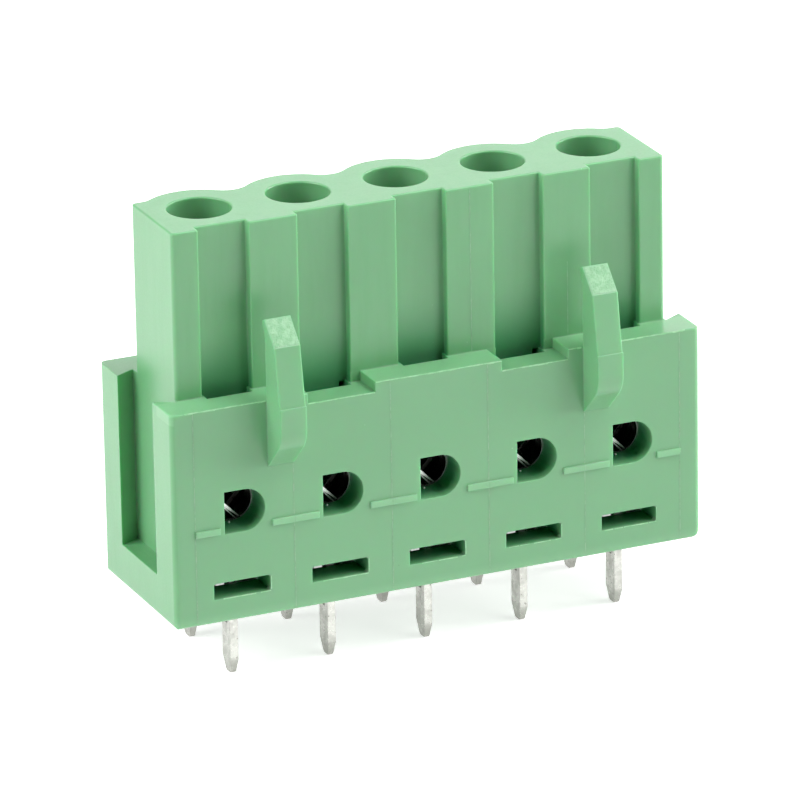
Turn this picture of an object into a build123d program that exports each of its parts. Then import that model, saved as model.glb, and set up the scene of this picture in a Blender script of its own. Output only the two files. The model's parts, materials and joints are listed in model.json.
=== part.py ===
"""Board-mounted socket half of a pluggable terminal block: one moulding, five contacts, five springs.

Lengths are in millimetres. The origin is the middle of the solder-leg pattern on the board's
surface. X runs along the row of poles, Y runs from the latch side to the back, Z points up.
"""
import os
from build123d import *

# Row of poles
pole_count = 5
pitch = 5.08

# Base of the housing
end_margin = 1.10
front_depth = 4.73
back_depth = 4.14
base_height = 10.82
back_wall_drop = 0.13
low_wall_drop = 0.50
low_wall_inner_reach = 1.78
low_wall_outer_reach = 1.72
left_toe_radius = 0.20
right_toe_radius = 0.60
base_bottom_radius = 0.16
base_corner_radius = 0.30
base_edge_radius = 0.06

# Dovetail recess in each end of the base, open at the top and wider inside than at its mouth
recess_front_wall = 2.27
recess_back_wall = 2.24
recess_front_flare = 0.61
recess_back_flare = 0.52
recess_depth = 1.01
recess_floor_height = 2.06

# Tall block that carries the sockets
block_height = 19.17
rib_front = 2.95
block_end_back = 2.04
back_wave_overlap = 0.26
back_wave_crest = 2.73
back_wave_blend = 1.10
back_end_blend = 0.80
block_corner_radius = 0.22
block_top_radius = 0.08
rib_edge_radius = 0.08

# Channels down the front of the block, and the pits behind the base's front wall
channel_width = 2.57
channel_depth = 0.47
pit_gap = 0.30
pit_side_margin = 0.11
pit_floor_height = 8.30
drain_width = 0.32
drain_top_drop = 0.06
drain_height = 0.90

# Sockets and the chambers below them
socket_radius = 1.55
socket_length = 5.57
socket_rim_radius = 0.08
upper_chamber_radius = 1.75
shoulder_height = 0.20
chamber_half_width = 1.75
chamber_half_depth = 3.13
chamber_height = 7.30

# Openings in the front wall
window_height = 2.11
window_left = 1.04
window_centre_height = 5.515
slot_width = 2.92
slot_height = 0.80
slot_centre_offset = -0.21
slot_bottom = 1.22
bar_length = 2.41
bar_height = 0.31
bar_proud = 0.10
bar_bottom = 4.50
bar_offset = 0.065
end_bar_length = 1.25

# Latch hooks, which stand a little beyond the outermost pole boundaries
hook_offset = 0.63
hook_width = 1.34
hook_root_height = 7.50
hook_reach = 1.68
hook_ramp_rise = 1.62
hook_ramp_radius = 1.50
hook_seam_rise = 0.04
hook_seam_step = 0.07
hook_lean = 0.57
hook_lean_height = 2.94
hook_tip_height = 1.12
hook_crown_drop = 0.14
hook_barb = 0.30
hook_barb_height = 0.95
hook_barb_face = 0.33
hook_root_overlap = 0.60
hook_root_inset = 0.30
hook_edge_radius = 0.06

# Contacts, each folded double from sheet
contact_sheet = 0.20
row_spacing = 5.08
leg_width = 1.00
leg_length = 3.50
leg_taper = 0.75
leg_tip_width = 0.58
leg_tip_radius = 0.18
leg_tip_thickness = 0.24
leg_groove_width = 0.32
leg_groove_depth = 0.05
leg_groove_bottom = -0.95
leg_groove_top = 0.90
web_bottom = 1.10
web_top = 4.10
web_seam_top = 4.36
barb_bottom = 2.30
barb_top = 3.60
web_side_clearance = 0.09
foot_plate_half_width = 1.30
foot_plate_drop = 0.15
leaf_spread = 0.85
leaf_spread_rise = 0.95
leaf_straight_top = 8.40
leaf_grip_gap = 0.70
leaf_grip_height = 12.00
leaf_mouth_flare = 0.38
leaf_top = 13.10
leaf_bend_radius = 0.22
leaf_root_half_depth = 1.60
leaf_shoulder_height = 5.40
leaf_neck_height = 7.00
leaf_neck_half_depth = 1.25
leaf_tip_half_depth = 0.95

# Steel springs that close each contact
spring_sheet = 0.18
spring_half_width = 1.36
spring_wall_clearance = 0.03
spring_foot_height = 1.30
spring_short_foot_height = 1.75
spring_panel_top = 6.90
spring_side_bottom = 2.60
spring_side_half_depth = 2.70
spring_arm_half_depth = 0.62
spring_arm_top = 12.10
spring_arm_bend_rise = 0.30
spring_tip_length = 0.60
spring_tip_flare = 0.05
spring_notch_left = 0.50
spring_notch_right = 0.35
spring_notch_top = 4.30
spring_window_inset = 0.05
spring_leaf_clearance = 0.03

# How closely two coordinates must agree to count as the same
match = 0.001

# Values that follow from the sizes above
half_row = pole_count * pitch / 2
half_length = half_row + end_margin
block_half_length = half_length - recess_depth
back_wave_radius = pitch / 2 + back_wave_overlap
front_face = -front_depth
back_face = back_depth
channel_floor = -rib_front + channel_depth
pit_front = -rib_front - pit_gap
web_thickness = 2 * contact_sheet
low_wall_height = base_height - low_wall_drop
back_wall_height = base_height - back_wall_drop
spring_panel_front = -chamber_half_depth + spring_wall_clearance
upper_chamber_top = block_height - socket_length
pole_centres = [(number - (pole_count - 1) / 2) * pitch for number in range(pole_count)]
pole_boundaries = [centre + pitch / 2 for centre in pole_centres[:-1]]
low_wall_start = pole_centres[-2] - low_wall_inner_reach
low_wall_end = pole_centres[-2] + low_wall_outer_reach
hook_centre = pole_boundaries[-1] + hook_offset


def block_between(x_range, y_range, z_range):
    """A box given by its lowest and highest value along each axis."""
    size = [high - low for low, high in (x_range, y_range, z_range)]
    middle = [(high + low) / 2 for low, high in (x_range, y_range, z_range)]
    return Pos(*middle) * Box(*size)


def along_y(face, y_range):
    """Extrude a face drawn as (x, z) from the lower to the higher y."""
    plane = Plane(origin=(0, y_range[1], 0), x_dir=(1, 0, 0), z_dir=(0, -1, 0))
    return extrude(plane * face, y_range[1] - y_range[0])


def along_x(face, x_range):
    """Extrude a face drawn as (y, z) from the lower to the higher x."""
    plane = Plane(origin=(x_range[0], 0, 0), x_dir=(0, 1, 0), z_dir=(1, 0, 0))
    return extrude(plane * face, x_range[1] - x_range[0])


def outline(*points):
    """A flat face with straight sides."""
    return make_face(Polyline(*points, close=True))


def make_base():
    """The low base: a solid bar with rounded toes and two low stretches of front wall."""
    plan = outline(
        (-half_length, front_face),
        (half_length, front_face),
        (half_length, back_face),
        (-half_length, back_face),
    )
    plan = fillet(plan.vertices(), base_corner_radius)
    front_view = outline(
        (-half_length, 0), (half_length, 0), (half_length, base_height), (-half_length, base_height)
    )
    for x, radius in ((-half_length, left_toe_radius), (half_length, right_toe_radius)):
        toe = [corner for corner in front_view.vertices() if abs(corner.X - x) < match and corner.Y < match]
        front_view = fillet(toe, radius)
    side_view = outline((front_face, 0), (back_face, 0), (back_face, base_height), (front_face, base_height))
    side_view = fillet([corner for corner in side_view.vertices() if corner.Y < match], base_bottom_radius)
    base = extrude(plan, base_height)
    base &= along_y(front_view, (front_face, back_face))
    base &= along_x(side_view, (-half_length, half_length))
    base = fillet(base.faces().sort_by(Axis.Z)[-1].edges(), base_edge_radius)
    for side in (-1, 1):
        low_x = sorted((side * low_wall_start, side * low_wall_end))
        base -= block_between(low_x, (front_face, -rib_front), (low_wall_height, base_height))
    lip = [
        edge
        for edge in base.edges().filter_by(Axis.X)
        if abs(edge.center().Y - front_face) < match and abs(edge.center().Z - low_wall_height) < match
    ]
    base = fillet(lip, base_edge_radius)
    return base - block_between((-half_length, half_length), (0, back_face), (back_wall_height, base_height))


def make_block():
    """The tall block: flat ribs in front, one round wave behind each socket."""
    plan = Pos(0, -rib_front / 2) * Rectangle(2 * block_half_length, rib_front)
    for side in (-1, 1):
        end_width = block_half_length - pole_centres[-1]
        end_centre = side * (block_half_length - end_width / 2)
        plan += Pos(end_centre, block_end_back / 2) * Rectangle(end_width, block_end_back)
    for centre in pole_centres:
        plan += Pos(centre, back_wave_crest - back_wave_radius) * Circle(back_wave_radius)
    plan &= Rectangle(2 * block_half_length, 2 * rib_front)
    for centre in pole_centres:
        plan -= Pos(centre, (channel_floor - rib_front) / 2) * Rectangle(
            channel_width, channel_floor + rib_front
        )
    plan = fillet([corner for corner in plan.vertices() if is_crease(corner)], back_wave_blend)
    plan = fillet([corner for corner in plan.vertices() if is_end_crease(corner)], back_end_blend)
    plan = fillet([corner for corner in plan.vertices() if is_rib_corner(corner)], rib_edge_radius)
    plan = fillet([corner for corner in plan.vertices() if is_end_corner(corner)], block_corner_radius)
    block = extrude(plan, block_height)
    return fillet(block.faces().sort_by(Axis.Z)[-1].edges(), block_top_radius)


def is_crease(corner):
    """True where two round waves meet behind the block."""
    return corner.Y > 0 and abs(corner.X) < pole_centres[-1]


def is_end_crease(corner):
    """True where the last round wave meets the flat back at each end of the block."""
    return abs(corner.Y - block_end_back) < match and abs(corner.X) < block_half_length - match


def is_rib_corner(corner):
    """True at the front corners of the ribs, apart from the two ends of the block."""
    return abs(corner.Y + rib_front) < match and abs(corner.X) < block_half_length - match


def is_end_corner(corner):
    """True at the four outer corners of the block."""
    return abs(abs(corner.X) - block_half_length) < match


def wall_top_at(x):
    """The height of the base's front wall, which has one low stretch on each side of the middle."""
    return low_wall_height if low_wall_start < abs(x) < low_wall_end else base_height


def cut_channel_feet(housing):
    """Open each channel down to the wall's top, then sink its pit and the small drain beside it."""
    for centre in pole_centres:
        channel_x = (centre - channel_width / 2, centre + channel_width / 2)
        pit_x = (channel_x[0] + pit_side_margin, channel_x[1] - pit_side_margin)
        drain_x = (pit_x[1] - drain_width, pit_x[1])
        wall_top = wall_top_at(centre)
        drain_z = (low_wall_height - drain_top_drop - drain_height, low_wall_height - drain_top_drop)
        housing -= block_between(channel_x, (-rib_front, channel_floor), (wall_top, block_height))
        housing -= block_between(pit_x, (pit_front, channel_floor), (pit_floor_height, wall_top))
        housing -= block_between(drain_x, (channel_floor, 0), drain_z)
    return housing


def cut_end_recesses(housing):
    """Sink the dovetail recess into each end of the base, open at the top."""
    mouth_front = front_face + recess_front_wall
    mouth_back = back_face - recess_back_wall
    for side in (-1, 1):
        plan = outline(
            (side * half_length, mouth_front),
            (side * half_length, mouth_back),
            (side * block_half_length, mouth_back + recess_back_flare),
            (side * block_half_length, mouth_front - recess_front_flare),
        )
        floor = Pos(0, 0, recess_floor_height) * plan
        housing -= extrude(floor, base_height - recess_floor_height, dir=(0, 0, 1))
    return housing


def make_window(width_inset, y_range):
    """The test window: square on the left, half round on the right."""
    radius = window_height / 2 - width_inset
    left = -window_left + width_inset
    profile = make_face(
        [
            Line((0, -radius), (left, -radius)),
            Line((left, -radius), (left, radius)),
            Line((left, radius), (0, radius)),
            ThreePointArc((0, radius), (radius, 0), (0, -radius)),
        ]
    )
    return Pos(0, 0, window_centre_height) * along_y(profile, y_range)


def cut_pole(housing, centre):
    """Socket, contact chamber, test window and slot of one pole."""
    cavity = block_between(
        (-chamber_half_width, chamber_half_width),
        (-chamber_half_depth, chamber_half_depth),
        (0, chamber_height),
    )
    cavity += Pos(0, 0, chamber_height) * extrude(
        Circle(upper_chamber_radius), upper_chamber_top - chamber_height
    )
    cavity += Pos(0, 0, upper_chamber_top + shoulder_height / 2) * Cone(
        upper_chamber_radius, socket_radius, shoulder_height
    )
    cavity += Pos(0, 0, upper_chamber_top) * extrude(Circle(socket_radius), socket_length)
    cavity += make_window(0, (front_face, -chamber_half_depth))
    slot_x = (slot_centre_offset - slot_width / 2, slot_centre_offset + slot_width / 2)
    slot_z = (slot_bottom, slot_bottom + slot_height)
    cavity += block_between(slot_x, (front_face, -chamber_half_depth), slot_z)
    return housing - Pos(centre, 0, 0) * cavity


def add_bars(housing):
    """Raised bars on the front face at the pole boundaries, half as long at the two ends."""
    bar_y = (front_face - bar_proud, front_face + bar_proud)
    bar_z = (bar_bottom, bar_bottom + bar_height)
    spans = [
        (boundary + bar_offset - bar_length / 2, boundary + bar_offset + bar_length / 2)
        for boundary in pole_boundaries
    ]
    spans.append((-half_row, -half_row + end_bar_length))
    spans.append((half_row - end_bar_length, half_row))
    for span in spans:
        housing += block_between(span, bar_y, bar_z)
    return housing


def round_socket_rims(housing):
    """Take the sharp edge off the top of each socket."""
    rims = [
        edge
        for edge in housing.edges().filter_by(GeomType.CIRCLE)
        if abs(edge.center().Z - block_height) < match and abs(edge.radius - socket_radius) < match
    ]
    return fillet(rims, socket_rim_radius)


def make_hook():
    """One latch hook, standing on the front wall, drawn from the side as (y, z)."""
    reach = front_face - hook_reach
    seam = base_height + hook_seam_rise
    lean_top = base_height + hook_lean_height
    crown = lean_top + hook_tip_height
    root = front_face + hook_root_overlap
    ramp = FilletPolyline(
        (front_face, hook_root_height),
        (reach, hook_root_height + hook_ramp_rise),
        (reach, seam),
        radius=hook_ramp_radius,
    )
    rest = Polyline(
        (reach, seam),
        (reach + hook_seam_step, seam),
        (reach + hook_lean, lean_top),
        (front_face, crown),
        (front_face + hook_barb, crown - hook_crown_drop),
        (front_face + hook_barb, crown - hook_barb_face),
        (front_face, crown - hook_barb_height),
        (front_face, base_height - hook_root_inset),
        (root, base_height - hook_root_inset),
        (root, hook_root_height),
        (front_face, hook_root_height),
    )
    hook = along_x(make_face([ramp, rest]), (-hook_width / 2, hook_width / 2))
    outer = [
        edge
        for edge in hook.edges()
        if abs(abs(edge.center().X) - hook_width / 2) < match
        and edge.length > 2 * hook_seam_step
        and edge.center().Z > seam
        and edge.center().Y < front_face - hook_seam_step
    ]
    return fillet(outer, hook_edge_radius)


def make_housing():
    """The one-piece moulding."""
    housing = make_base() + make_block()
    housing = cut_end_recesses(housing)
    housing = cut_channel_feet(housing)
    for centre in pole_centres:
        housing = cut_pole(housing, centre)
    housing = round_socket_rims(add_bars(housing))
    for side in (-1, 1):
        housing += Pos(side * hook_centre, 0, 0) * make_hook()
    return housing


def leg_outline(side):
    """One solder leg as (y, z), from its blunt rounded tip up into the web."""
    centre = side * row_spacing / 2
    half = leg_width / 2
    tip_half = leg_tip_width / 2
    leg = outline(
        (centre - tip_half, -leg_length),
        (centre + tip_half, -leg_length),
        (centre + half, -leg_length + leg_taper),
        (centre + half, web_bottom + leg_width),
        (centre - half, web_bottom + leg_width),
        (centre - half, -leg_length + leg_taper),
    )
    return fillet([corner for corner in leg.vertices() if corner.Y < match - leg_length], leg_tip_radius)


def contact_side_outline():
    """The blank of a contact seen along X: two legs, a web, and a leaf that tapers upwards."""
    web_half = chamber_half_depth - web_side_clearance
    barb_half = chamber_half_depth
    face = outline((-web_half, web_bottom), (web_half, web_bottom), (web_half, web_top), (-web_half, web_top))
    face += outline(
        (-barb_half, barb_top), (-web_half, barb_bottom), (web_half, barb_bottom), (barb_half, barb_top)
    )
    face += outline(
        (-leaf_root_half_depth, web_bottom),
        (leaf_root_half_depth, web_bottom),
        (leaf_root_half_depth, leaf_shoulder_height),
        (leaf_neck_half_depth, leaf_neck_height),
        (leaf_tip_half_depth, leaf_top),
        (-leaf_tip_half_depth, leaf_top),
        (-leaf_neck_half_depth, leaf_neck_height),
        (-leaf_root_half_depth, leaf_shoulder_height),
    )
    for side in (-1, 1):
        face += leg_outline(side)
    return face


def contact_end_profile():
    """The folded sheet seen along Y: a double web below, two sprung leaves above."""
    half = web_thickness / 2
    tip = leg_tip_thickness / 2
    profile = outline(
        (-tip, -leg_length),
        (tip, -leg_length),
        (half, -leg_length + leg_taper),
        (half, web_seam_top),
        (-half, web_seam_top),
        (-half, -leg_length + leg_taper),
    )
    middle = contact_sheet / 2
    leaf_x = middle + leaf_spread
    grip_x = (leaf_grip_gap + contact_sheet) / 2
    for side in (-1, 1):
        path = FilletPolyline(
            (side * middle, web_bottom),
            (side * middle, web_top + contact_sheet),
            (side * leaf_x, web_top + contact_sheet + leaf_spread_rise),
            (side * leaf_x, leaf_straight_top),
            (side * grip_x, leaf_grip_height),
            (side * (grip_x + leaf_mouth_flare), leaf_top),
            radius=leaf_bend_radius,
        )
        profile += trace(path, line_width=contact_sheet)
    return profile


def make_contact():
    """One contact: folded sheet trimmed to its blank, a foot plate, a coined groove down each leg."""
    deep = (-chamber_half_depth, chamber_half_depth)
    wide = (-chamber_half_width, chamber_half_width)
    contact = along_y(contact_end_profile(), deep) & along_x(contact_side_outline(), wide)
    plate_half_depth = chamber_half_depth - web_side_clearance
    plate_bottom = web_bottom - foot_plate_drop
    contact += block_between(
        (-foot_plate_half_width, foot_plate_half_width),
        (-plate_half_depth, plate_half_depth),
        (plate_bottom, plate_bottom + contact_sheet),
    )
    for side in (-1, 1):
        centre = side * row_spacing / 2
        groove_y = (centre - leg_groove_width / 2, centre + leg_groove_width / 2)
        groove_x = (-web_thickness / 2, -web_thickness / 2 + leg_groove_depth)
        contact -= block_between(groove_x, groove_y, (leg_groove_bottom, leg_groove_top))
    return contact


def spring_arm_profile():
    """The two side panels and arms of a spring seen along Y."""
    side_x = spring_half_width - spring_sheet / 2
    grip_x = leaf_grip_gap / 2 + contact_sheet + spring_leaf_clearance + spring_sheet / 2
    arms = Sketch()
    for side in (-1, 1):
        path = FilletPolyline(
            (side * side_x, spring_side_bottom),
            (side * side_x, leaf_straight_top + spring_arm_bend_rise),
            (side * (grip_x + spring_tip_flare), spring_arm_top - spring_tip_length),
            (side * (grip_x + 2 * spring_tip_flare), spring_arm_top),
            radius=leaf_bend_radius,
        )
        arms += trace(path, line_width=spring_sheet)
    return arms


def spring_side_outline():
    """The side panels and arms of a spring seen along X."""
    front = spring_panel_front
    return outline(
        (front, spring_side_bottom),
        (spring_side_half_depth, spring_side_bottom),
        (spring_side_half_depth, leaf_shoulder_height),
        (spring_arm_half_depth, spring_panel_top),
        (spring_arm_half_depth, spring_arm_top + spring_sheet),
        (-spring_arm_half_depth, spring_arm_top + spring_sheet),
        (-spring_arm_half_depth, spring_panel_top),
        (front, spring_panel_top),
    )


def make_spring():
    """One steel spring: a front panel with its own window, two side panels, two arms."""
    deep = (spring_panel_front, spring_side_half_depth)
    wide = (-spring_half_width, spring_half_width)
    spring = along_y(spring_arm_profile(), deep) & along_x(spring_side_outline(), wide)
    panel_y = (spring_panel_front, spring_panel_front + spring_sheet)
    panel = block_between(wide, panel_y, (spring_foot_height, spring_panel_top))
    notch_x = (-spring_notch_left, spring_notch_right)
    panel -= block_between(notch_x, panel_y, (spring_foot_height, spring_notch_top))
    panel -= block_between(
        (spring_notch_right, spring_half_width), panel_y, (spring_foot_height, spring_short_foot_height)
    )
    panel -= make_window(spring_window_inset, panel_y)
    return spring + panel


def write_parts():
    """Write one STEP file for each piece."""
    os.makedirs("parts", exist_ok=True)
    pieces = {"housing": make_housing()}
    for number, centre in enumerate(pole_centres, start=1):
        pieces[f"contact_{number}"] = Pos(centre, 0, 0) * make_contact()
        pieces[f"contact_spring_{number}"] = Pos(centre, 0, 0) * make_spring()
    for name, piece in pieces.items():
        solids = piece.solids()
        size = piece.bounding_box().size
        print(f"{name}: {len(solids)} solid, {size.X:.2f} x {size.Y:.2f} x {size.Z:.2f} mm")
        export_step(piece, f"parts/{name}.step")


write_parts()
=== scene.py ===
# %% [markdown]
# # A pluggable terminal block, dressed for the camera
#
# The object is the board half of a five-pole pluggable terminal block: one green moulding with a
# tall block of round sockets, a low base, two latch hooks, and folded tin-plated contacts inside.
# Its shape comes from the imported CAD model, which this lesson loads as a fixed frame. What is left
# for Blender is what the eye reads as real: the camera, soft light, plastic, tin and spring steel,
# and the fine lines that the mould leaves on a moulding.

# %% [markdown]
# ## Load the frame
#
# Every CAD piece arrives as its own object, in metres, with the board's surface at z = 0. A new
# Blender file also holds a cube, a lamp and a camera of its own. They are no part of this object,
# so everything that the frame didn't bring is removed before anything is measured.

# %% Load the CAD model and measure it
import json
import math
import random

import bmesh
import bpy
from mathutils import Matrix, Vector

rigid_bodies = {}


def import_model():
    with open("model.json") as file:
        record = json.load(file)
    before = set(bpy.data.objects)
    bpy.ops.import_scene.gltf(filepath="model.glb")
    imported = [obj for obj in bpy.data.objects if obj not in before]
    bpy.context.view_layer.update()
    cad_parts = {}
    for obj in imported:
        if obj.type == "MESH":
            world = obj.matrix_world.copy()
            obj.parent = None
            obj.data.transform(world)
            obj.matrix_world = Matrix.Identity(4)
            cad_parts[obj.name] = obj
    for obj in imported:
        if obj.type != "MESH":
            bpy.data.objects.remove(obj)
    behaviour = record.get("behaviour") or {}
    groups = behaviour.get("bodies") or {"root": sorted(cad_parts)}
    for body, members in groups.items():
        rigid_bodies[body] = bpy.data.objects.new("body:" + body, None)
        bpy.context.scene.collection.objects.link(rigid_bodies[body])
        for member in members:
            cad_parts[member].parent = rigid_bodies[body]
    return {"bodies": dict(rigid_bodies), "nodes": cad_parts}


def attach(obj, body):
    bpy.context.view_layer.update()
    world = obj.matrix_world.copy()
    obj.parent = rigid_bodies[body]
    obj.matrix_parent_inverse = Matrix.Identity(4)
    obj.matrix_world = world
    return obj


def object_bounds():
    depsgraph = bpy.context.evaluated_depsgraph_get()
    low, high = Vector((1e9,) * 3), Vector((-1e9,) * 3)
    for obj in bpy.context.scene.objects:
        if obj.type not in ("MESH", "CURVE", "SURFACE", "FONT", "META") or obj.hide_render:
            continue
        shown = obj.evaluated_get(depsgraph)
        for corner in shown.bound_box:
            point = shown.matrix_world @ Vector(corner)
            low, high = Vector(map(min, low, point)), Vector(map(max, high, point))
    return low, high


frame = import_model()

frame_objects = set(frame["nodes"].values()) | set(frame["bodies"].values())
for leftover in set(bpy.data.objects) - frame_objects:
    bpy.data.objects.remove(leftover)

cad_box = [list(corner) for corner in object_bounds()]
millimetre = 0.001


def in_millimetres(corners):
    """The corners of a box, rounded for reading."""
    return [[round(value / millimetre, 2) for value in corner] for corner in corners]


print("CAD box in mm:", in_millimetres(cad_box))

# %% [markdown]
# ## The camera
#
# The photograph was taken with a long lens from well back, a little to the left and above. Such a
# camera can be guessed by eye and nudged, or solved from edges whose real directions are known. It
# was solved here: parallel edges of the moulding give the turn, the tilt and the small roll, and
# the way the far end shrinks gives the distance. A lens of over 300 mm is unusual, but it is what
# keeps the ribs nearly parallel in the picture.

# %% Place the camera
camera_turn = math.radians(-23.757)
camera_tilt = math.radians(20.357)
camera_roll = math.radians(-0.984)
camera_place = Vector((-147.02, -334.11, 143.24)) * millimetre
sensor_width = 36.0
picture_width = 800
focal_pixels = 8084.7

camera_data = bpy.data.cameras.new("product_camera")
camera_data.sensor_fit = "HORIZONTAL"
camera_data.sensor_width = sensor_width
camera_data.lens = focal_pixels / picture_width * sensor_width
camera_data.clip_start = 0.01
camera_data.clip_end = 20.0
camera = bpy.data.objects.new("product_camera", camera_data)
bpy.context.scene.collection.objects.link(camera)
camera.matrix_world = (
    Matrix.Translation(camera_place)
    @ Matrix.Rotation(camera_turn, 4, "Z")
    @ Matrix.Rotation(math.pi / 2 - camera_tilt, 4, "X")
    @ Matrix.Rotation(camera_roll, 4, "Z")
)
bpy.context.scene.camera = camera
camera_at = [round(distance, 3) for distance in camera_place]
print("Camera with a lens of", round(camera_data.lens, 1), "mm, placed in metres at", camera_at)

# %% [markdown]
# ## A short way to build node materials
#
# A material made by hand in the shader editor is a web of boxes and wires. The same web can be
# written down: one helper adds a node and wires its inputs in one call, so that each material below
# reads like a recipe. Values that are the same all over a surface are typed into the shader's own
# socket, and only what varies is wired.

# %% Helpers that add and wire nodes
def add_node(tree, kind, settings=None, **inputs):
    """Add a node, set its plain settings, and fill or wire the inputs given by name."""
    node = tree.nodes.new(kind)
    for name, value in (settings or {}).items():
        setattr(node, name, value)
    for name, value in inputs.items():
        fill_input(tree, node.inputs[name.replace("_", " ")], value)
    return node


def fill_input(tree, socket, value):
    """Wire an output into the socket, or type a plain value into it."""
    if isinstance(value, bpy.types.NodeSocket):
        tree.links.new(value, socket)
    else:
        socket.default_value = value


def start_material(name):
    """An empty node material, its output, and the object coordinates that its patterns use."""
    material = bpy.data.materials.new(name)
    material.use_nodes = True
    tree = material.node_tree
    tree.nodes.clear()
    output = tree.nodes.new("ShaderNodeOutputMaterial")
    place = tree.nodes.new("ShaderNodeTexCoord").outputs["Object"]
    return material, tree, output, place


print("Helpers that add and wire nodes are ready")

# %% [markdown]
# ## Sums, steps and noise
#
# Real surfaces vary, so most inputs of a material are worked out point by point. Each of these
# helpers is one such step: a sum, a soft step from one value to another, a blend of two colours, or
# noise. Noise is asked for by the number of features in a millimetre, because that can be counted
# on the real object, while Blender's own scale has no unit.

# %% Helpers that work out values
def math_node(tree, operation, first, second=0.0, clamp=False):
    """One arithmetic step on two values."""
    node = tree.nodes.new("ShaderNodeMath")
    node.operation = operation
    node.use_clamp = clamp
    fill_input(tree, node.inputs[0], first)
    fill_input(tree, node.inputs[1], second)
    return node.outputs[0]


def larger(tree, first, second):
    """The larger of two shares."""
    return math_node(tree, "MAXIMUM", first, second)


def product(tree, *shares):
    """Several shares multiplied together."""
    result = shares[0]
    for share in shares[1:]:
        result = math_node(tree, "MULTIPLY", result, share)
    return result


def ramp_between(tree, value, low, high, start=0.0, end=1.0):
    """Spread the stretch of a value from low to high over start to end, held flat outside it."""
    node = tree.nodes.new("ShaderNodeMapRange")
    node.interpolation_type = "SMOOTHSTEP"
    for socket, number in zip(node.inputs[:5], (value, low, high, start, end)):
        fill_input(tree, socket, number)
    return node.outputs[0]


def step_in_mm(tree, value, low, high, start=0.0, end=1.0):
    """A soft step of a coordinate, given in millimetres."""
    return ramp_between(tree, value, low * millimetre, high * millimetre, start, end)


def mix_colours(tree, share, first, second):
    """Blend two colours by a share between 0 and 1."""
    node = tree.nodes.new("ShaderNodeMix")
    node.data_type = "RGBA"
    fill_input(tree, node.inputs["Factor"], share)
    fill_input(tree, node.inputs["A"], first)
    fill_input(tree, node.inputs["B"], second)
    return node.outputs["Result"]


def noise_at(tree, place, per_millimetre, detail=2.0, roughness=0.5, stretch=(1.0, 1.0, 1.0)):
    """Noise with a stated number of features in each millimetre, stretched along the axes."""
    scale = per_millimetre / millimetre
    mapping = add_node(tree, "ShaderNodeMapping", Vector=place)
    mapping.inputs["Scale"].default_value = [scale * share for share in stretch]
    noise = add_node(tree, "ShaderNodeTexNoise", Vector=mapping.outputs[0])
    noise.inputs["Scale"].default_value = 1.0
    noise.inputs["Detail"].default_value = detail
    noise.inputs["Roughness"].default_value = roughness
    return noise.outputs[0]


print("Helpers that work out values are ready")

# %% [markdown]
# ## The greens and the specks
#
# The real housing is moulded polyamide, semi-matt and very slightly translucent. A plain green
# would look like paint. So the colour drifts softly between two greens, has faint upright streaks
# where the melt flowed, and a sprinkle of pale and dark specks. The specks could come from a
# painted picture, but that blurs close up. A cell pattern with only a few of its cells switched on
# stays sharp at any distance.

# %% Name the greens and sprinkle the specks
green = (0.150, 0.400, 0.186, 1.0)
green_pale = (0.163, 0.416, 0.200, 1.0)
green_deep = (0.137, 0.386, 0.172, 1.0)
green_painted_light = (0.180, 0.434, 0.218, 1.0)
green_painted_highlight = (0.330, 0.620, 0.370, 1.0)
green_painted_shade = (0.058, 0.285, 0.122, 1.0)
speck_pale = (0.36, 0.62, 0.40, 1.0)
speck_dark = (0.05, 0.14, 0.07, 1.0)


def sprinkle(tree, place, per_millimetre, size, keep_above):
    """Small round specks, on for only a few of the cells that they could sit in."""
    scale = per_millimetre / millimetre
    cells = add_node(tree, "ShaderNodeTexVoronoi", {"feature": "F1"}, Vector=place, Scale=scale)
    chance = add_node(tree, "ShaderNodeSeparateColor", Color=cells.outputs["Color"])
    chosen = math_node(tree, "GREATER_THAN", chance.outputs[0], keep_above)
    dot = ramp_between(tree, cells.outputs["Distance"], size * 0.5, size, start=1.0, end=0.0)
    return product(tree, dot, chosen)


print("The plain green is", green[:3])

# %% [markdown]
# ## Where light and shade are painted on the green
#
# Painted light: the front face and the bottom edge are painted a shade paler, and the raised bars,
# the ledge and the front's lower edge paler still, a painted highlight. Painted shade: deep in a
# window, a slot or a channel, where light has bounced from green to green, the green is painted
# darker, greener and without sheen. Such places can be painted on the mesh, but a painted layer
# needs many fine faces. Here each place is a product of soft steps along the axes, so it stays tied
# to sizes that can be read off the part.

# %% Find the places of painted light and shade
front_face = -4.72

# Each soft step is an axis, where it starts and ends in mm, and the share before and after it.
soft_steps = {
    "bars": (("Y", -4.80, -4.77, 0.36, 0.0), ("Z", 5.1, 5.2, 1.0, 0.0)),
    "ledge": (
        ("Y", -2.96, -2.94, 0.22, 0.0), ("Y", -4.71, -4.68, 0.0, 1.0),
        ("Z", 10.28, 10.31, 0.0, 1.0), ("Z", 10.85, 10.90, 1.0, 0.0),
    ),
    "lower edge": (("Y", -4.60, -4.50, 0.26, 0.0), ("Z", 0.05, 0.60, 1.0, 0.0)),
    "front": (("Y", front_face, -4.69, 1.0, 0.0),),
    "bottom": (("Z", 0.0, 0.9, 0.6, 0.0),),
    "openings": (("Z", 10.0, 10.3, 1.0, 0.0), ("Z", 0.15, 0.30, 0.0, 1.0)),
    "channels": (
        ("Y", -2.93, -2.80, 0.0, 1.0), ("Z", 10.3, 14.2, 0.75, 0.0), ("Z", 7.0, 8.0, 0.0, 1.0),
    ),
    "chambers": (("from the middle", 12.5, 12.6, 1.0, 0.0), ("Y", -1.6, -1.2, 1.0, 0.0)),
}


def share_of(tree, axes, place_name, *more_steps):
    """The share of one place: its soft steps multiplied together."""
    return product(tree, *(
        step_in_mm(tree, axes[axis], low, high, before, after)
        for axis, low, high, before, after in (*more_steps, *soft_steps[place_name])
    ))


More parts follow.
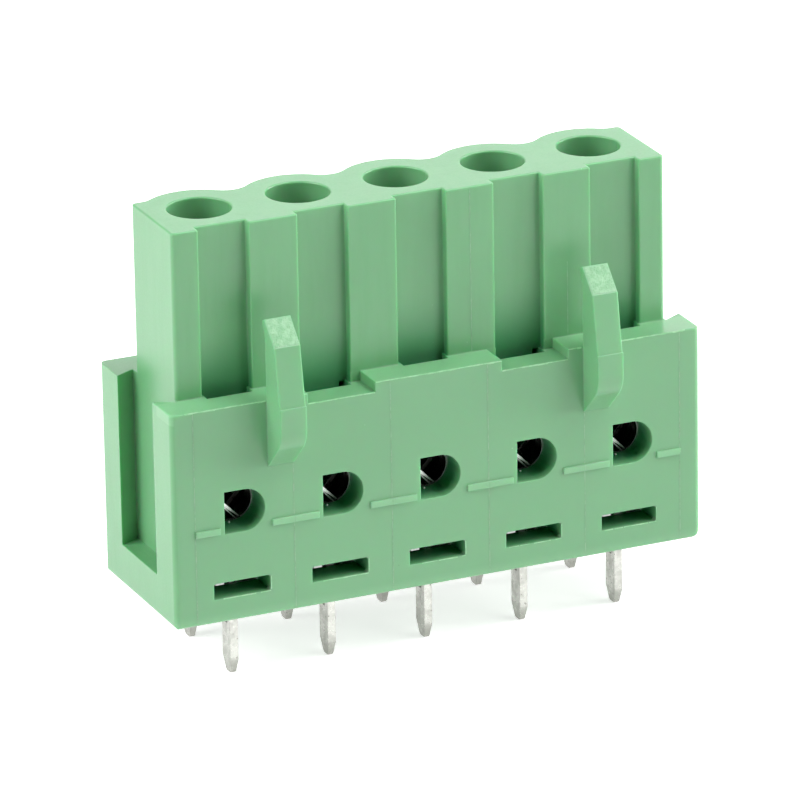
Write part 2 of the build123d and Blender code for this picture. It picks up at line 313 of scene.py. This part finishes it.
def painted_highlight_places(tree, axes):
    """Painted highlight: most on the raised bars, less on the ledge and the lower edge."""
    bars_and_ledge = larger(tree, share_of(tree, axes, "bars"), share_of(tree, axes, "ledge"))
    return larger(tree, bars_and_ledge, share_of(tree, axes, "lower edge"))


def painted_light_places(tree, axes):
    """Painted light: 1 on the front face, more than half along the bottom edge, 0 elsewhere."""
    return larger(tree, share_of(tree, axes, "front"), share_of(tree, axes, "bottom"))


def painted_shade_places(tree, axes, fully_inside):
    """Painted shade: 1 in windows and slots from a depth on, less at channels' feet, 0 outside."""
    into_the_part = ("Y", front_face, fully_inside, 0.0, 1.0)
    openings = share_of(tree, axes, "openings", into_the_part)
    openings_and_channels = larger(tree, openings, share_of(tree, axes, "channels"))
    return product(tree, openings_and_channels, share_of(tree, axes, "chambers"))


print("Places set by soft steps:", ", ".join(soft_steps))

# %% [markdown]
# ## The green polyamide
#
# Light sinks a few tenths of a millimetre into polyamide, which softens the shadows and warms the
# thin edges. Mould steel is never perfectly sharp either. Cutting a tiny round on every edge would
# cost thousands of faces, so the bevel node bends the shading instead, and each edge catches a thin
# line of light. A thin coat gives the faint white haze that a glancing view shows on the top and
# the end.

# %% Make the polyamide
edge_radius = 0.08 * millimetre
light_depth = 0.60 * millimetre
light_spread = (0.12, 1.0, 0.35)
grain_depth = 0.0025 * millimetre
wave_height = 2.0
pale_speck_share = 0.55
dark_speck_share = 0.60
# Depths in mm where the painted shade is full: the darker green, and the loss of sheen.
shaded_from = -3.60
sheenless_shade_from = -4.40


def make_polyamide():
    """Semi-matt green polyamide with drift, streaks, specks, soft edges, depth, painted light and
    shade.
    """
    material, tree, output, place = start_material("green_polyamide")
    split = add_node(tree, "ShaderNodeSeparateXYZ", Vector=place)
    axes = {name: split.outputs[name] for name in "XYZ"}
    axes["from the middle"] = math_node(tree, "ABSOLUTE", axes["X"])
    shade = painted_shade_places(tree, axes, shaded_from)
    sheenless_shade = painted_shade_places(tree, axes, sheenless_shade_from)

    clouds = noise_at(tree, place, per_millimetre=0.16, detail=3.0)
    drift = ramp_between(tree, clouds, low=0.35, high=0.65)
    flow = noise_at(
        tree, place, per_millimetre=1.4, detail=3.0, roughness=0.6, stretch=(1.0, 1.0, 0.12),
    )
    streaks = ramp_between(tree, flow, low=0.40, high=0.75, end=0.55)
    pale = sprinkle(tree, place, per_millimetre=1.3, size=0.055, keep_above=0.93)
    dark = sprinkle(tree, place, per_millimetre=0.9, size=0.045, keep_above=0.95)
    colour = mix_colours(tree, drift, green, green_pale)
    colour = mix_colours(tree, streaks, colour, green_deep)
    # Painted light: the front face and the bottom edge turn paler.
    colour = mix_colours(tree, painted_light_places(tree, axes), colour, green_painted_light)
    colour = mix_colours(tree, product(tree, pale, pale_speck_share), colour, speck_pale)
    colour = mix_colours(tree, product(tree, dark, dark_speck_share), colour, speck_dark)
    # Painted highlight on the raised bars, the ledge and the front's lower edge.
    colour = mix_colours(tree, painted_highlight_places(tree, axes), colour, green_painted_highlight)
    # Painted shade: deep in the openings and channels the green is darker.
    colour = mix_colours(tree, shade, colour, green_painted_shade)

    grain = noise_at(tree, place, per_millimetre=9.0, detail=4.0, roughness=0.65)
    waves = noise_at(tree, place, per_millimetre=0.8)
    height = math_node(tree, "ADD", product(tree, waves, wave_height), grain)
    bevel = add_node(tree, "ShaderNodeBevel", {"samples": 6}, Radius=edge_radius)
    bump = add_node(
        tree, "ShaderNodeBump", Strength=1.0, Distance=grain_depth, Height=height,
        Normal=bevel.outputs[0],
    )
    # Deep inside, the painted shade also takes away the sheen and the coat.
    plastic = add_node(
        tree, "ShaderNodeBsdfPrincipled",
        Base_Color=colour, Normal=bump.outputs[0], IOR=1.53,
        Roughness=ramp_between(tree, grain, 0.3, 0.7, start=0.32, end=0.40),
        Specular_IOR_Level=ramp_between(tree, sheenless_shade, 0.0, 1.0, start=0.50, end=0.06),
        Subsurface_Weight=0.50, Subsurface_Scale=light_depth,
        Coat_Weight=ramp_between(tree, sheenless_shade, 0.0, 1.0, start=0.20, end=0.0), Coat_Roughness=0.30,
    )
    plastic.inputs["Subsurface Radius"].default_value = light_spread
    tree.links.new(plastic.outputs[0], output.inputs["Surface"])
    return material


polyamide = make_polyamide()
print("Polyamide has", len(polyamide.node_tree.nodes), "nodes")

# %% [markdown]
# ## The tinned contacts
#
# The solder legs are copper alloy under a thin coat of tin: a metal, but not a mirror. Tin flows
# unevenly, so the shine breaks up in small patches, fine marks run along the sheet from rolling,
# and tiny dark pits show where the coat is thin. The sheared tips are greyer, and up in the chamber
# the tin is painted much darker, a painted shade. One even grey with a little roughness would be
# quicker, but the legs would look like plain wire.

# %% Make the tin
tin_bright = (0.55, 0.545, 0.515, 1.0)
tin_dull = (0.41, 0.41, 0.38, 1.0)
tin_pit = (0.16, 0.16, 0.14, 1.0)
tin_tip = (0.30, 0.30, 0.27, 1.0)
tin_painted_shade = (0.12, 0.12, 0.11, 1.0)
dull_share = 0.55
pit_share = 0.80
tip_share = 0.55
sheared_tip = (-3.3, -2.3)
start_of_painted_shade = (1.0, 2.2)
patch_height = 2.0
sheet_edge_radius = 0.04 * millimetre
tin_relief = 0.006 * millimetre


def make_tin():
    """Uneven bright tin with rolling marks along Z and small dark pits."""
    material, tree, output, place = start_material("bright_tin")
    spots = noise_at(tree, place, per_millimetre=2.2, detail=4.0, roughness=0.6)
    patches = ramp_between(tree, spots, low=0.38, high=0.66)
    rolling = noise_at(
        tree, place, per_millimetre=22.0, detail=3.0, roughness=0.6, stretch=(1.0, 1.0, 0.05),
    )
    pits = sprinkle(tree, place, per_millimetre=5.0, size=0.26, keep_above=0.66)
    up = add_node(tree, "ShaderNodeSeparateXYZ", Vector=place).outputs["Z"]
    tip = step_in_mm(tree, up, *sheared_tip, start=tip_share, end=0.0)
    colour = mix_colours(tree, product(tree, patches, dull_share), tin_bright, tin_dull)
    colour = mix_colours(tree, product(tree, pits, pit_share), colour, tin_pit)
    colour = mix_colours(tree, tip, colour, tin_tip)
    # Painted shade: up in the chamber the tin turns nearly black.
    colour = mix_colours(tree, step_in_mm(tree, up, *start_of_painted_shade), colour, tin_painted_shade)
    height = math_node(tree, "ADD", product(tree, patches, patch_height), rolling)
    bevel = add_node(tree, "ShaderNodeBevel", {"samples": 4}, Radius=sheet_edge_radius)
    bump = add_node(
        tree, "ShaderNodeBump", Strength=0.6, Distance=tin_relief, Height=height,
        Normal=bevel.outputs[0],
    )
    metal = add_node(
        tree, "ShaderNodeBsdfPrincipled",
        Base_Color=colour, Metallic=1.0, Normal=bump.outputs[0],
        Roughness=ramp_between(tree, patches, 0.0, 1.0, start=0.26, end=0.48),
    )
    tree.links.new(metal.outputs[0], output.inputs["Surface"])
    return material


tin = make_tin()
print("Tin has", len(tin.node_tree.nodes), "nodes")

# %% [markdown]
# ## The spring steel
#
# Inside each pole a bent strip of stainless spring steel grips the contact. It sits in the dark
# behind the test window, so it is kept deep grey. Cold-rolled strip is smoother than the tin and
# has long fine scratches. They are noise that is drawn out along one axis, which costs less than
# scratches cut one by one.

# %% Make the spring steel
steel_colour = (0.24, 0.24, 0.23, 1.0)
steel_shade = (0.15, 0.15, 0.14, 1.0)
scratch_depth = 0.003 * millimetre


def make_spring_steel():
    """Cold-rolled stainless strip with fine scratches along Z."""
    material, tree, output, place = start_material("spring_steel_strip")
    scratches = noise_at(
        tree, place, per_millimetre=30.0, detail=3.0, roughness=0.7, stretch=(1.0, 1.0, 0.04),
    )
    darker = ramp_between(tree, scratches, low=0.4, high=0.7)
    bump = add_node(
        tree, "ShaderNodeBump", Strength=0.4, Distance=scratch_depth, Height=scratches,
    )
    metal = add_node(
        tree, "ShaderNodeBsdfPrincipled",
        Base_Color=mix_colours(tree, darker, steel_colour, steel_shade),
        Metallic=1.0, Normal=bump.outputs[0],
        Roughness=ramp_between(tree, scratches, 0.3, 0.7, start=0.18, end=0.34),
    )
    tree.links.new(metal.outputs[0], output.inputs["Surface"])
    return material


spring_steel = make_spring_steel()
print("Spring steel has", len(spring_steel.node_tree.nodes), "nodes")

# %% [markdown]
# ## Dress the CAD pieces
#
# The housing, the contacts and the springs keep their CAD shape and only change their finish.
# Each could be modelled again with finer edges, but its shape is right already. A finish belongs
# to a material slot of the object, so each slot is refilled, and the mesh is left alone.

# %% Give each CAD piece its finish
for name, piece in frame["nodes"].items():
    if name == "housing":
        finish = polyamide
    elif name.startswith("contact_spring"):
        finish = spring_steel
    else:
        finish = tin
    for slot in piece.material_slots:
        slot.material = finish
print("Dressed", len(frame["nodes"]), "CAD pieces")

# %% [markdown]
# ## Pale, rubbed plastic
#
# Where polyamide is torn or rubbed it turns pale, as paper does where it is scuffed: on flash,
# along sharp edges, and on the sloping tops of the hooks. White paint laid over it would hide the
# green. It is the same plastic with a broken surface, so it keeps the green and the depth, and
# gains white and roughness. Thin torn edges let more light through than a rubbed face and catch
# highlights, so they get a brighter mix of their own, partly a painted highlight.

# %% Make the rubbed plastic
rubbed_shades = ((0.200, 0.440, 0.232, 1.0), (0.290, 0.530, 0.318, 1.0))
torn_highlight_shades = ((0.260, 0.620, 0.300, 1.0), (0.400, 0.760, 0.440, 1.0))
rubbed_light_spread = (0.20, 1.0, 0.40)
scuff_depth = 0.010 * millimetre


def make_rubbed_plastic(name, less_pale, more_pale):
    """Polyamide that has gone pale and rough from rubbing, in patches of two shades."""
    material, tree, output, place = start_material(name)
    spots = noise_at(tree, place, per_millimetre=3.5, detail=4.0, roughness=0.6)
    patches = ramp_between(tree, spots, low=0.35, high=0.65)
    scuffs = noise_at(tree, place, per_millimetre=14.0, detail=4.0, roughness=0.7)
    bump = add_node(tree, "ShaderNodeBump", Strength=0.8, Distance=scuff_depth, Height=scuffs)
    plastic = add_node(
        tree, "ShaderNodeBsdfPrincipled",
        Base_Color=mix_colours(tree, patches, less_pale, more_pale),
        Roughness=0.52, Normal=bump.outputs[0], IOR=1.53,
        Subsurface_Weight=0.20, Subsurface_Scale=light_depth,
    )
    plastic.inputs["Subsurface Radius"].default_value = rubbed_light_spread
    tree.links.new(plastic.outputs[0], output.inputs["Surface"])
    return material


rubbed = make_rubbed_plastic("rubbed_polyamide", *rubbed_shades)
# Torn edges get the brighter mix, partly a painted highlight.
torn_and_highlit = make_rubbed_plastic("torn_highlit_polyamide", *torn_highlight_shades)
for plastic in (rubbed, torn_and_highlit):
    print(plastic.name, "has", len(plastic.node_tree.nodes), "nodes")

# %% [markdown]
# ## Meshes that ride with the part
#
# Everything below is added to the moulding as small real meshes. Such a piece could be modelled by
# hand, but its place follows from a few sizes of the part, so the sizes are written down once and
# the meshes are worked out from them. Each face must look outward, or light enters it from the
# wrong side. Each piece is tied to the part, so that it moves with it.

# %% Write down the part's sizes and add pieces
pitch = 5.08
boundaries = [pitch * (number - 2.5) for number in range(6)]
poles = [pitch * (number - 2) for number in range(5)]
front_y = -4.73
rib_y = -2.95


def add_piece(name, vertices, faces, finish, slot):
    """A new mesh piece, given in millimetres, that rides with the part; its faces look outward."""
    mesh = bpy.data.meshes.new(name)
    mesh.from_pydata([[value * millimetre for value in vertex] for vertex in vertices], [], faces)
    outward = bmesh.new()
    outward.from_mesh(mesh)
    bmesh.ops.recalc_face_normals(outward, faces=outward.faces)
    outward.to_mesh(mesh)
    outward.free()
    mesh.materials.append(finish)
    piece = bpy.data.objects.new(name, mesh)
    bpy.context.scene.collection.objects.link(piece)
    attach(piece, "root")
    return piece


def boxes_to_mesh(boxes):
    """The corners and faces of many boxes, each given by its lowest and highest x, y and z."""
    vertices, faces = [], []
    for x_range, y_range, z_range in boxes:
        start = len(vertices)
        vertices += [(x, y, z) for z in z_range for y in y_range for x in x_range]
        below_and_above = ((0, 2, 3, 1), (4, 5, 7, 6))
        around = ((0, 1, 5, 4), (2, 6, 7, 3), (0, 4, 6, 2), (1, 3, 7, 5))
        faces += [tuple(start + corner for corner in side) for side in below_and_above + around]
    return vertices, faces


print("Poles in mm from the middle:", poles)

# %% [markdown]
# ## The mould's hairlines
#
# A mould is built from inserts, and where two inserts meet the plastic creeps into the gap. It
# leaves an upright hairline at every pole boundary, on the front face, over the bars and up the
# ribs. A bump texture would vanish from the side, so each line is a real strip, a few hundredths of
# a millimetre wide and only microns proud.

# %% Raise the mould lines
bottom_to_bar = (0.18, 4.48)
over_the_bar = (4.50, 4.81)
above_the_bar = 4.83
below_the_hooks = 7.45
below_the_ledge = 10.76
bar_proud = 0.10
rib_line_foot = 10.86
rib_line_width = 0.03
rib_line_tops = ((boundaries[3], 19.05), (boundaries[4], 14.60), (boundaries[1], 13.20))


def upright_line(x, y, low, high, width=0.035, proud=0.004, sunk=0.01):
    """One hairline on a face that looks to the front."""
    return (x - width / 2, x + width / 2), (y - proud, y + sunk), (low, high)


def mould_line_boxes():
    """Every hairline of the moulding; the two beside the hooks end below them."""
    boxes = []
    for x in boundaries:
        beside_hook = abs(abs(x) - 1.5 * pitch) < 0.1
        top = below_the_hooks if beside_hook else below_the_ledge
        boxes.append(upright_line(x, front_y, *bottom_to_bar))
        boxes.append(upright_line(x, front_y, above_the_bar, top))
        boxes.append(upright_line(x, front_y - bar_proud, *over_the_bar))
    for x, top in rib_line_tops:
        boxes.append(upright_line(x, rib_y, rib_line_foot, top, rib_line_width))
    return boxes


line_boxes = mould_line_boxes()
mould_lines = add_piece("mould_lines", *boxes_to_mesh(line_boxes), rubbed, "moulding")
print(mould_lines.name, "has", len(line_boxes), "strips")

# %% [markdown]
# ## The flash of the slots
#
# Where the slides that form the slots close, a thin ragged flash stands on the slot's lower and
# right edges. One even strip would look like a frame, so the flash is broken into short lengths of
# uneven height. They are drawn by chance, from a fixed seed, so that they come out the same each
# time.

# %% Leave flash on the slots
slot_left = -1.67
slot_right = 1.25
slot_bottom = 1.22
slot_top = 2.02
flash_start = (0.1, 0.7)
flash_length = (0.18, 0.55)
flash_height = (0.02, 0.05)
flash_gaps = (0.0, 0.0, 0.06, 0.25)
flash_y = (front_y - 0.02, front_y + 0.02)
flash_overlap = 0.005
shortest_flash = 0.1
side_flash_width = (0.03, 0.05)
side_flash_y = (front_y - 0.015, front_y + 0.02)
side_flash_rise = (slot_bottom + 0.05, slot_bottom + 0.72)
chance = random.Random(5)


def slot_flash_boxes():
    """Ragged flash along the lower and right edges of the five slots."""
    boxes = []
    for pole in poles:
        left, right = pole + slot_left, pole + slot_right
        x = left + chance.uniform(*flash_start)
        while x < right - shortest_flash:
            end = min(x + chance.uniform(*flash_length), right)
            foot = slot_bottom - chance.uniform(*flash_height)
            boxes.append(((x, end), flash_y, (foot, slot_bottom + flash_overlap)))
            x = end + chance.choice(flash_gaps)
        width = chance.uniform(*side_flash_width)
        boxes.append(((right, right + width), side_flash_y, side_flash_rise))
    return boxes


flash_boxes = slot_flash_boxes()
# The flash is drawn in the brighter torn plastic, partly a painted highlight on the slots' edges.
slot_flash = add_piece("slot_flash", *boxes_to_mesh(flash_boxes), torn_and_highlit, "moulding")
print(slot_flash.name, "has", len(flash_boxes), "strips")

# %% [markdown]
# ## The scuffed lip of the ledge
#
# The front edge of the ledge has a pale lip, partly scuffed and partly a painted highlight. A pale
# line in the material would be as even as a ruled one, so the lip is laid in short lengths of uneven
# width, like the flash, and left out where the hooks stand. Where the ledge steps down and up, the
# lip does too.

# %% Scuff the ledge's lip
ledge_z = 10.82
low_ledge_z = 10.32
lip_stretches = (
    (-13.1, -8.95, ledge_z), (-7.5, -6.82, ledge_z), (-6.78, -3.32, low_ledge_z),
    (-3.28, 3.28, ledge_z), (3.32, 6.78, low_ledge_z), (6.82, 7.5, ledge_z),
    (8.95, 13.0, ledge_z),
)
lip_length = (0.15, 0.60)
lip_drop = (0.03, 0.065)
lip_proud = (0.002, 0.008)
lip_width = (0.03, 0.06)
lip_rise = 0.004


def ledge_lip_boxes():
    """The ledge's scuffed edge, partly a painted highlight, in short lengths, left out at the hooks.
    """
    boxes = []
    for left, right, top in lip_stretches:
        x = left
        while x < right:
            end = min(x + chance.uniform(*lip_length), right)
            drop = chance.uniform(*lip_drop)
            front = front_y - chance.uniform(*lip_proud)
            back = front_y + chance.uniform(*lip_width)
            boxes.append(((x, end), (front, back), (top - drop, top + lip_rise)))
            x = end
    return boxes


lip_boxes = ledge_lip_boxes()
ledge_lip = add_piece("ledge_lip", *boxes_to_mesh(lip_boxes), torn_and_highlit, "moulding")
print(ledge_lip.name, "has", len(lip_boxes), "strips")

# %% [markdown]
# ## The worn corners of the slots
#
# The slides that form the slots have worn corners, so three corners of each slot are slightly
# round. The CAD model keeps them sharp. A cut with a rounded tool would do it too, but the CAD
# meshes are left alone here, so each corner is filled with a small fillet, a fan of thin triangles
# given a depth.

# %% Round the slots' corners
corner_radius = 0.13
corner_steps = 6
corner_depth = (front_y, -4.40)


def fillet_outline(x, z, right_way, up_way):
    """The outline of one fillet: the sharp corner and the quarter circle that rounds it."""
    outline = [(x, z)]
    for step in range(corner_steps + 1):
        angle = math.pi / 2 * step / corner_steps
        outline.append((
            x + right_way * corner_radius * (1 - math.sin(angle)),
            z + up_way * corner_radius * (1 - math.cos(angle)),
        ))
    return outline


def slot_corner_mesh():
    """Small fillets that round three corners of each slot, where the slide's edge is worn."""
    vertices, faces = [], []
    for pole in poles:
        left, right = pole + slot_left, pole + slot_right
        for outline in (
            fillet_outline(right, slot_bottom, -1, 1),
            fillet_outline(right, slot_top, -1, -1),
            fillet_outline(left, slot_top, 1, -1),
        ):
            front, count = len(vertices), len(outline)
            back = front + count
            vertices += [(x, y, z) for y in corner_depth for x, z in outline]
            for step in range(1, count - 1):
                faces.append((front, front + step, front + step + 1))
                faces.append((back, back + step + 1, back + step))
            for first in range(count):
                second = (first + 1) % count
                faces.append((front + first, back + first, back + second, front + second))
    return vertices, faces


slot_corners = add_piece("slot_corners", *slot_corner_mesh(), rubbed, "moulding")
print(slot_corners.name, "has", len(slot_corners.data.polygons), "faces")

# %% [markdown]
# ## The torn tops of the hooks
#
# The sloping tops of the two hooks scrape along the plug each time it is pushed in, so they get a
# thin skin with a torn, uneven surface. It could be painted on, but a chewed surface breaks the
# light by its shape, so the skin is a fine grid with random heights.

# %% Tear the hook tops
hook_x = 8.25
hook_width = 1.34
skin_margin = 0.05
slope_foot = (-5.84, 13.76)
slope_crown = (-4.73, 14.88)
slope_margin = 0.02
cells_across = 26
cells_along = 30
tear_height = (0.002, 0.022)
sunk_edge = -0.015


def hook_top_mesh(centre):
    """A torn skin over the sloping top of one hook, as a grid across x and up the slope."""
    low, high = Vector((centre, *slope_foot)), Vector((centre, *slope_crown))
    slope = high - low
    outward = Vector((0.0, -slope.z, slope.y)).normalized()
    vertices = []
    for row in range(cells_along + 1):
        for column in range(cells_across + 1):
            at_edge = row in (0, cells_along) or column in (0, cells_across)
            lift = sunk_edge if at_edge else chance.uniform(*tear_height)
            side = (column / cells_across - 0.5) * (hook_width - skin_margin)
            share = slope_margin + (1 - 2 * slope_margin) * row / cells_along
            point = low + slope * share + outward * lift
            vertices.append((point.x + side, point.y, point.z))
    next_row = cells_across + 1
    faces = [
        (start, start + 1, start + next_row + 1, start + next_row)
        for row in range(cells_along)
        for start in range(row * next_row, row * next_row + cells_across)
    ]
    return vertices, faces


for side, name in ((-1, "hook_top_left"), (1, "hook_top_right")):
    hook_top = add_piece(name, *hook_top_mesh(side * hook_x), rubbed, "moulding")
    print(name, "has", len(hook_top.data.polygons), "faces")

# %% [markdown]
# ## Tabs and rims behind the windows
#
# Through each test window two bright lines slope down to the right. They are drawn as the cut
# edges of a tab, folded double, that leans across the contact. A thin bright arc is the cut rim of
# the spring's own window. Both are real sheets, a few hundredths of a millimetre thick, made of an
# extra bright metal so that they paint highlights, because a line painted on the housing would not
# move against the window as the eye moves.

# %% Shape the tabs and the rims
tab_front = -3.16
tab_back = -2.40
lower_sheet = ((0.195, 4.470), (0.237, 4.510), (-0.463, 5.245), (-0.463, 5.188))
upper_sheet = ((0.321, 4.590), (0.364, 4.633), (-0.463, 5.459), (-0.463, 5.229))
rim_y = (-3.17, -3.135)
rim_radii = (0.990, 1.040)
rim_start = 84
rim_sweep = 150
rim_steps = 24
window_centre_z = 5.515


def sheet_mesh(centre, corners):
    """A sheet seen edge on: four corners in x and z, running back from the tab's front."""
    front = [(centre + x, tab_front, z) for x, z in corners]
    back = [(centre + x, tab_back, z) for x, z in corners]
    faces = [(0, 1, 2, 3), (7, 6, 5, 4), (0, 4, 5, 1), (1, 5, 6, 2), (2, 6, 7, 3), (3, 7, 4, 0)]
    return front + back, faces


def rim_mesh(centre):
    """The cut rim of the spring's window, along its round side."""
    vertices, faces = [], []
    for step in range(rim_steps + 1):
        angle = math.radians(rim_start - rim_sweep * step / rim_steps)
        for radius in rim_radii:
            for y in rim_y:
                x = centre + radius * math.cos(angle)
                vertices.append((x, y, window_centre_z + radius * math.sin(angle)))
    for step in range(rim_steps):
        here, ahead = 4 * step, 4 * step + 4
        for first, second in ((0, 1), (1, 3), (3, 2), (2, 0)):
            faces.append((here + first, here + second, ahead + second, ahead + first))
    return vertices, faces


print("The rim has", len(rim_mesh(0.0)[1]), "faces")

# %% [markdown]
# ## Painted glints on the sills and lips in the slots
#
# A small glint low in each window is painted with a bright ball on the sill, and at the upper left
# of each slot the contact's lip catches the light, painted brighter as a highlight. They are too
# small for a shape of their own to show, so a ball and a flat box do. Tab, rim, ball and lip of one
# pole are cut from the same metal, so they are joined into one mesh.

# %% Shape the glint ball and the lip and join the four
glint_ball_place = (-0.287, -3.44, 4.50)
glint_ball_radius = 0.06
lip_box = ((-1.41, -0.98), (-4.30, -3.00), (1.75, 1.83))


def glint_ball_mesh(centre):
    """A small bright ball on the window's sill that paints a glint."""
    ball = bmesh.new()
    bmesh.ops.create_icosphere(ball, subdivisions=2, radius=glint_ball_radius)
    x, y, z = glint_ball_place
    vertices = [(centre + x + v.co.x, y + v.co.y, z + v.co.z) for v in ball.verts]
    faces = [tuple(v.index for v in face.verts) for face in ball.faces]
    ball.free()
    return vertices, faces


def lip_mesh(centre):
    """The contact's lip in the slot, a flat box that paints its highlight."""
    (low_x, high_x), y_range, z_range = lip_box
    return boxes_to_mesh([((centre + low_x, centre + high_x), y_range, z_range)])


def bright_edges_mesh(centre):
    """Tab, rim, glint ball and lip of one pole in one mesh."""
    vertices, faces = [], []
    for part_vertices, part_faces in (
        sheet_mesh(centre, lower_sheet), sheet_mesh(centre, upper_sheet),
        rim_mesh(centre), glint_ball_mesh(centre), lip_mesh(centre),
    ):
        start = len(vertices)
        vertices += part_vertices
        faces += [tuple(start + corner for corner in face) for face in part_faces]
    return vertices, faces


print("Bright edges of one pole have", len(bright_edges_mesh(0.0)[1]), "faces")

# %% [markdown]
# ## Bright metal that paints the glints
#
# These pieces paint the highlights: their metal is made brighter than the tin and faces the
# opening, so it shines while the chamber stays black. It could be made to glow, but a glow would
# shine in the dark too. It is a plain bright metal instead, worn in patches, and painted darker at
# the tab's fold and at the front of the lip, where the real part shines less.

# %% Make the glint metal and place it in each pole
glint_bright = (0.90, 0.90, 0.89, 1.0)
glint_worn = (0.66, 0.67, 0.66, 1.0)
glint_dimmed = (0.12, 0.14, 0.13, 1.0)
fold_rise = (4.45, 5.10)
glint_ball_back_y = (-3.35, -3.30)
dimmed_lip_y = (-4.00, -3.90)
cut_mark_depth = 0.004 * millimetre


def make_glint_metal():
    """Bright metal for painted glints, worn in patches, darker at the fold and on the lip."""
    material, tree, output, place = start_material("glint_metal")
    marks = noise_at(
        tree, place, per_millimetre=16.0, detail=3.0, roughness=0.6, stretch=(1.0, 0.2, 1.0),
    )
    axes = add_node(tree, "ShaderNodeSeparateXYZ", Vector=place)
    fold = product(
        tree,
        step_in_mm(tree, axes.outputs["Z"], *fold_rise, start=0.85, end=0.0),
        step_in_mm(tree, axes.outputs["Y"], *glint_ball_back_y),
    )
    lip = step_in_mm(tree, axes.outputs["Y"], *dimmed_lip_y, start=0.62, end=0.0)
    worn = ramp_between(tree, marks, low=0.35, high=0.7)
    colour = mix_colours(tree, worn, glint_bright, glint_worn)
    # Painted darker at the fold and the lip's front, which dims the painted highlight there.
    colour = mix_colours(tree, larger(tree, fold, lip), colour, glint_dimmed)
    bump = add_node(tree, "ShaderNodeBump", Strength=0.4, Distance=cut_mark_depth, Height=marks)
    metal = add_node(
        tree, "ShaderNodeBsdfPrincipled",
        Base_Color=colour, Metallic=1.0, Roughness=0.30, Normal=bump.outputs[0],
    )
    tree.links.new(metal.outputs[0], output.inputs["Surface"])
    return material


glint_metal = make_glint_metal()
for number, pole in enumerate(poles, start=1):
    add_piece(f"bright_edges_{number}", *bright_edges_mesh(pole), glint_metal, "contact_metal")
print("Bright edges in", len(poles), "poles")

# %% [markdown]
# ## The floor
#
# The photograph is a product shot on pure white. The floor is a wide white sheet at the height of
# the leg tips. It is lit like everything else, so the part's shadow stays on it, and a little glow
# of its own lifts it to full white where nothing shades it. That glow is for the camera, mirrors
# and clear things only, so it adds no light to the part.

# %% Lay the floor
floor_height = cad_box[0][2]
floor_reach = 3.0
floor_white = (0.86, 0.86, 0.86, 1.0)
floor_glow = 0.66


def seen_directly(tree):
    """1 for rays from the camera, off a mirror or through glass, 0 for light passed on."""
    path = tree.nodes.new("ShaderNodeLightPath")
    either = math_node(tree, "ADD", path.outputs["Is Camera Ray"], path.outputs["Is Glossy Ray"])
    return math_node(tree, "ADD", either, path.outputs["Is Transmission Ray"], clamp=True)


def make_floor():
    """A large white sheet under the part."""
    mesh = bpy.data.meshes.new("floor_sheet")
    directions = ((-1, -1), (1, -1), (1, 1), (-1, 1))
    corners = [(x * floor_reach, y * floor_reach, floor_height) for x, y in directions]
    mesh.from_pydata(corners, [], [(0, 1, 2, 3)])
    floor = bpy.data.objects.new("floor_sheet", mesh)
    bpy.context.scene.collection.objects.link(floor)
    material, tree, output, _ = start_material("white_sheet")
    paper = add_node(tree, "ShaderNodeBsdfDiffuse", Color=floor_white)
    glow = add_node(
        tree, "ShaderNodeEmission",
        Strength=math_node(tree, "MULTIPLY", seen_directly(tree), floor_glow),
    )
    both = tree.nodes.new("ShaderNodeAddShader")
    tree.links.new(paper.outputs[0], both.inputs[0])
    tree.links.new(glow.outputs[0], both.inputs[1])
    tree.links.new(both.outputs[0], output.inputs["Surface"])
    mesh.materials.append(material)
    return floor


floor = make_floor()
print("Floor lies at", round(floor_height / millimetre, 2), "mm")

# %% [markdown]
# ## The white surroundings
#
# Behind a product shot hangs white cloth. A backdrop sheet would do, but it would stand in the way
# of the lamps and of a camera that goes round the part. A white world has no such place. It is
# white only for rays that see it directly, so it too adds no light to the part.

# %% Hang white all around
def make_world():
    """White all around for the camera and for reflections."""
    world = bpy.data.worlds.new("white_cloth")
    world.use_nodes = True
    tree = world.node_tree
    tree.nodes.clear()
    output = tree.nodes.new("ShaderNodeOutputWorld")
    cloth = add_node(tree, "ShaderNodeBackground", Strength=seen_directly(tree))
    cloth.inputs["Color"].default_value = (1.0, 1.0, 1.0, 1.0)
    tree.links.new(cloth.outputs[0], output.inputs["Surface"])
    return world


bpy.context.scene.world = make_world()
print("World is", bpy.context.scene.world.name)

# %% [markdown]
# ## The lamps
#
# The photograph's own shading says where its lamps stood: the top and the left end are brightest,
# the ribs shade the channels to their left, and the inside corners fall to a deep green. Five soft
# square lamps give that. Their powers could be nudged by eye; here each lamp was rendered alone and
# their mix was fitted to the brightness of sixty places in the photograph. Each stays at a plain
# level, so a colour renders about as it is written.

# %% Set up five soft lamps
lamp_distance = 0.40
lamp_target = Vector((0.0, 0.0, 0.008))


def add_softbox(name, direction, size, power):
    """A square lamp that looks at the middle of the part from a direction."""
    lamp = bpy.data.lights.new(name, "AREA")
    lamp.shape = "SQUARE"
    lamp.size = size
    lamp.energy = power
    away = Vector(direction).normalized()
    softbox = bpy.data.objects.new(name, lamp)
    turn = away.to_track_quat("Z", "Y").to_matrix().to_4x4()
    softbox.matrix_world = Matrix.Translation(lamp_target + away * lamp_distance) @ turn
    bpy.context.scene.collection.objects.link(softbox)
    return softbox


softboxes = [
    add_softbox("softbox_right", (1.0, -0.18, 0.14), size=0.20, power=1.50),
    add_softbox("softbox_left", (-1.0, 0.06, 0.70), size=0.30, power=1.78),
    add_softbox("softbox_high", (0.45, -0.25, 1.0), size=0.20, power=0.88),
    add_softbox("softbox_front", (1.0, -1.0, 1.0), size=0.20, power=0.54),
    add_softbox("softbox_back", (0.50, 0.87, 0.14), size=0.20, power=0.15),
]
for softbox in softboxes:
    print(softbox.name, "gives", round(softbox.data.energy, 2), "W")

# %% [markdown]
# ## Finish
#
# The colours go to the screen as they are written, without a film look.

# %% Finish
bpy.context.scene.view_settings.view_transform = "Standard"
